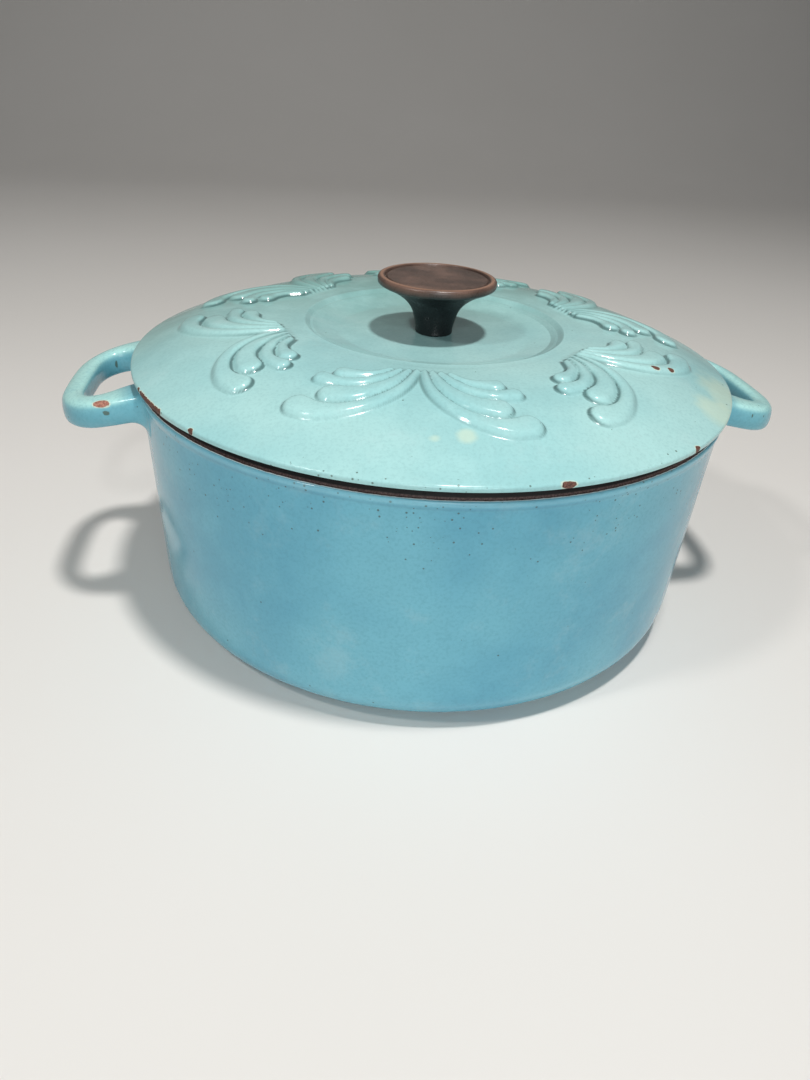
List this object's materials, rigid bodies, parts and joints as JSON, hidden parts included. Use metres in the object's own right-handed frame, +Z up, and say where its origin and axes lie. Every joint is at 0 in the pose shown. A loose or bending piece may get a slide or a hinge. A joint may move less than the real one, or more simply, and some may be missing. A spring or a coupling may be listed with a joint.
{
  "type": "dutch oven",
  "caption": "Round enamelled cast iron dutch oven with two loop handles and a domed lid with raised palmettes; the lid lifts off and its knob unscrews.",
  "frame": {"origin": "on the table, under the middle of the pot", "axes": "+Z up out of the pot; X through the two loop handles; -Y is the front"},
  "size_m": [0.3534, 0.2884, 0.1605],
  "materials": {
    "enamelled_iron": "glossy vitreous enamel, pale aqua",
    "phenolic": "black moulded phenolic, slightly browned on top",
    "insert_brass": "turned",
    "fastener_steel": "plain stainless"
  },
  "bodies": {
    "pot": {"pot_body": "enamelled_iron", "loop_handle_left": "enamelled_iron", "loop_handle_right": "enamelled_iron"},
    "lid": {"lid": "enamelled_iron"},
    "knob": {"knob": "phenolic", "knob_insert": "insert_brass"},
    "fastener": {"knob_screw": "fastener_steel", "lock_washer": "fastener_steel", "flat_washer": "fastener_steel"}
  },
  "joints": [
    {"name": "lid_lift", "type": "slide", "parent": "pot", "child": "lid", "axis": [0, 0, 1], "range_m": [0, 0.2]},
    {"name": "knob_turn", "type": "hinge", "parent": "lid", "child": "knob", "pos_m": [0, 0, 0.1337], "axis": [0, 0, 1], "range_deg": [0, 2880]},
    {"name": "screw_travel", "type": "slide", "parent": "lid", "child": "fastener", "axis": [0, 0, -1], "range_m": [0, 0.0081]}
  ],
  "couplings": [
    {"joint": "screw_travel", "follows": "knob_turn", "m_per_rad": 0.00015915}
  ]
}
